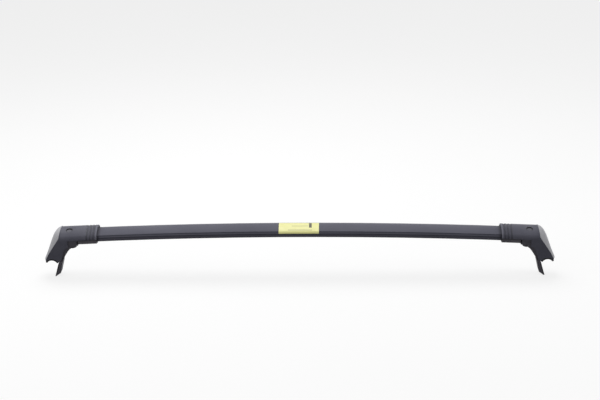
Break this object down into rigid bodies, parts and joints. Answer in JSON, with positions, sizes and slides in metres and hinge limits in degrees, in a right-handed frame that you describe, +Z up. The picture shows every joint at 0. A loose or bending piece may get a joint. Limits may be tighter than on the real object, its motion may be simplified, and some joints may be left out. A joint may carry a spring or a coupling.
{
  "type": "roof rack crossbar",
  "caption": "Roof rack crossbar: a hollow wing-section bar, gently bowed, with a covered clamp foot at each end whose jaw grips a roof rail.",
  "frame": {"origin": "ground level under the middle of the rack, between the tips of the two jaws", "axes": "+X along the bar, +Y to the rear of the bar's section, +Z up"},
  "size_m": [1.1, 0.067, 0.1133],
  "materials": {
    "crossbar": "satin grey powder coat",
    "label": "pale yellow film",
    "foot_frame": "black coated casting",
    "foot_shell": "fine grain, dark grey",
    "under_cover": "fine grain, black",
    "end_cover": "satin light grey",
    "access_plug": "fine grain, dark grey",
    "clamp_bolt": "zinc plated",
    "clamp_washer": "zinc plated",
    "clamp_nut": "zinc plated",
    "clamp_jaw": "dark grey coated casting",
    "jaw_pad": "matt black",
    "saddle_pad": "matt black",
    "bar_screws": "zinc plated",
    "cover_screws": "zinc plated",
    "bar_seal": "matt black"
  },
  "bodies": {
    "rack": {"crossbar": "crossbar", "label": "label", "foot_frame_left": "foot_frame", "foot_frame_right": "foot_frame", "foot_shell_left": "foot_shell", "foot_shell_right": "foot_shell", "under_cover_left": "under_cover", "under_cover_right": "under_cover", "end_cover_left": "end_cover", "end_cover_right": "end_cover", "clamp_washer_left": "clamp_washer", "clamp_washer_right": "clamp_washer", "saddle_pad_left": "saddle_pad", "saddle_pad_right": "saddle_pad", "bar_screws_left": "bar_screws", "bar_screws_right": "bar_screws", "cover_screws_left": "cover_screws", "cover_screws_right": "cover_screws", "bar_seal_left": "bar_seal", "bar_seal_right": "bar_seal"},
    "jaw_left": {"clamp_jaw_left": "clamp_jaw", "jaw_pad_left": "jaw_pad", "clamp_nut_left": "clamp_nut"},
    "bolt_left": {"clamp_bolt_left": "clamp_bolt"},
    "plug_left": {"access_plug_left": "access_plug"},
    "jaw_right": {"clamp_jaw_right": "clamp_jaw", "jaw_pad_right": "jaw_pad", "clamp_nut_right": "clamp_nut"},
    "bolt_right": {"clamp_bolt_right": "clamp_bolt"},
    "plug_right": {"access_plug_right": "access_plug"}
  },
  "joints": [
    {"name": "jaw_slide_left", "type": "slide", "parent": "rack", "child": "jaw_left", "axis": [0.2164, 0, -0.9763], "range_m": [0, 0.006]},
    {"name": "bolt_spin_left", "type": "hinge", "parent": "rack", "child": "bolt_left", "pos_m": [-0.4931, -0.0145, 0.1058], "axis": [-0.2164, 0, 0.9763], "range_deg": [0, 2160]},
    {"name": "plug_lift_left", "type": "slide", "parent": "rack", "child": "plug_left", "axis": [-0.2164, 0, 0.9763], "range_m": [0, 0.012]},
    {"name": "jaw_slide_right", "type": "slide", "parent": "rack", "child": "jaw_right", "axis": [-0.2164, 0, -0.9763], "range_m": [0, 0.006]},
    {"name": "bolt_spin_right", "type": "hinge", "parent": "rack", "child": "bolt_right", "pos_m": [0.4931, -0.0145, 0.1058], "axis": [0.2164, 0, 0.9763], "range_deg": [0, 2160]},
    {"name": "plug_lift_right", "type": "slide", "parent": "rack", "child": "plug_right", "axis": [0.2164, 0, 0.9763], "range_m": [0, 0.012]}
  ],
  "couplings": [
    {"joint": "bolt_spin_left", "follows": "jaw_slide_left", "rad_per_m": 6283.2},
    {"joint": "bolt_spin_right", "follows": "jaw_slide_right", "rad_per_m": 6283.2}
  ]
}
